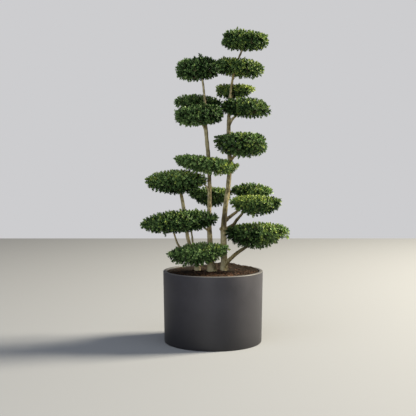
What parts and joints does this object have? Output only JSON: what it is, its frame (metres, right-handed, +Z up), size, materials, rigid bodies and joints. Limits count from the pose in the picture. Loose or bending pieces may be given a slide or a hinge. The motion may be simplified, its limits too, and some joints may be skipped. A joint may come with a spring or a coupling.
{
  "type": "cloud-pruned japanese holly in a round planter",
  "caption": "Tall multi-stem japanese holly clipped into flat pads of small dark leaves, standing in a round matte charcoal planter beside a door or on a patio.",
  "frame": {"origin": "centre of the planter's flat underside", "axes": "+Z up, +X towards the plant's right seen from the front, +Y towards its back"},
  "size_m": [1.0004, 0.6998, 2.1807],
  "materials": {
    "planter": "matte charcoal fibre cement with a fine mottle and a slightly paler rim",
    "soil": "dark moist potting soil with coarse reddish-brown bark pieces",
    "bark": "rough grey-beige bark with darker mottling and knots",
    "foliage": "small leathery deep green leaves, paler and yellower at the shoot tips"
  },
  "bodies": {
    "root": {"planter": "planter", "soil": "soil", "trunk_left": "bark", "trunk_right": "bark", "stem_far_left": "bark", "stem_second": "bark", "stem_thin": "bark", "bough_upper_right": "bark", "bough_upper_right_back": "bark", "bough_upper_left_back": "bark", "bough_upper_left_front": "bark", "bough_middle_right": "bark", "bough_waist_right": "bark", "bough_waist_left": "bark", "bough_low_left": "bark", "bough_low_centre_back": "bark", "bough_low_right_back": "bark", "bough_low_right_front": "bark", "bough_skirt_left": "bark", "bough_skirt_right": "bark", "bough_foot_front": "bark", "pad_top_right": "foliage", "pad_top_left": "foliage", "pad_upper_right": "foliage", "pad_upper_right_back": "foliage", "pad_upper_left_back": "foliage", "pad_upper_left_front": "foliage", "pad_middle_right": "foliage", "pad_waist_right": "foliage", "pad_waist_left": "foliage", "pad_low_left": "foliage", "pad_low_centre_back": "foliage", "pad_low_right_back": "foliage", "pad_low_right_front": "foliage", "pad_skirt_left": "foliage", "pad_skirt_right": "foliage", "pad_foot_front": "foliage"}
  },
  "joints": []
}
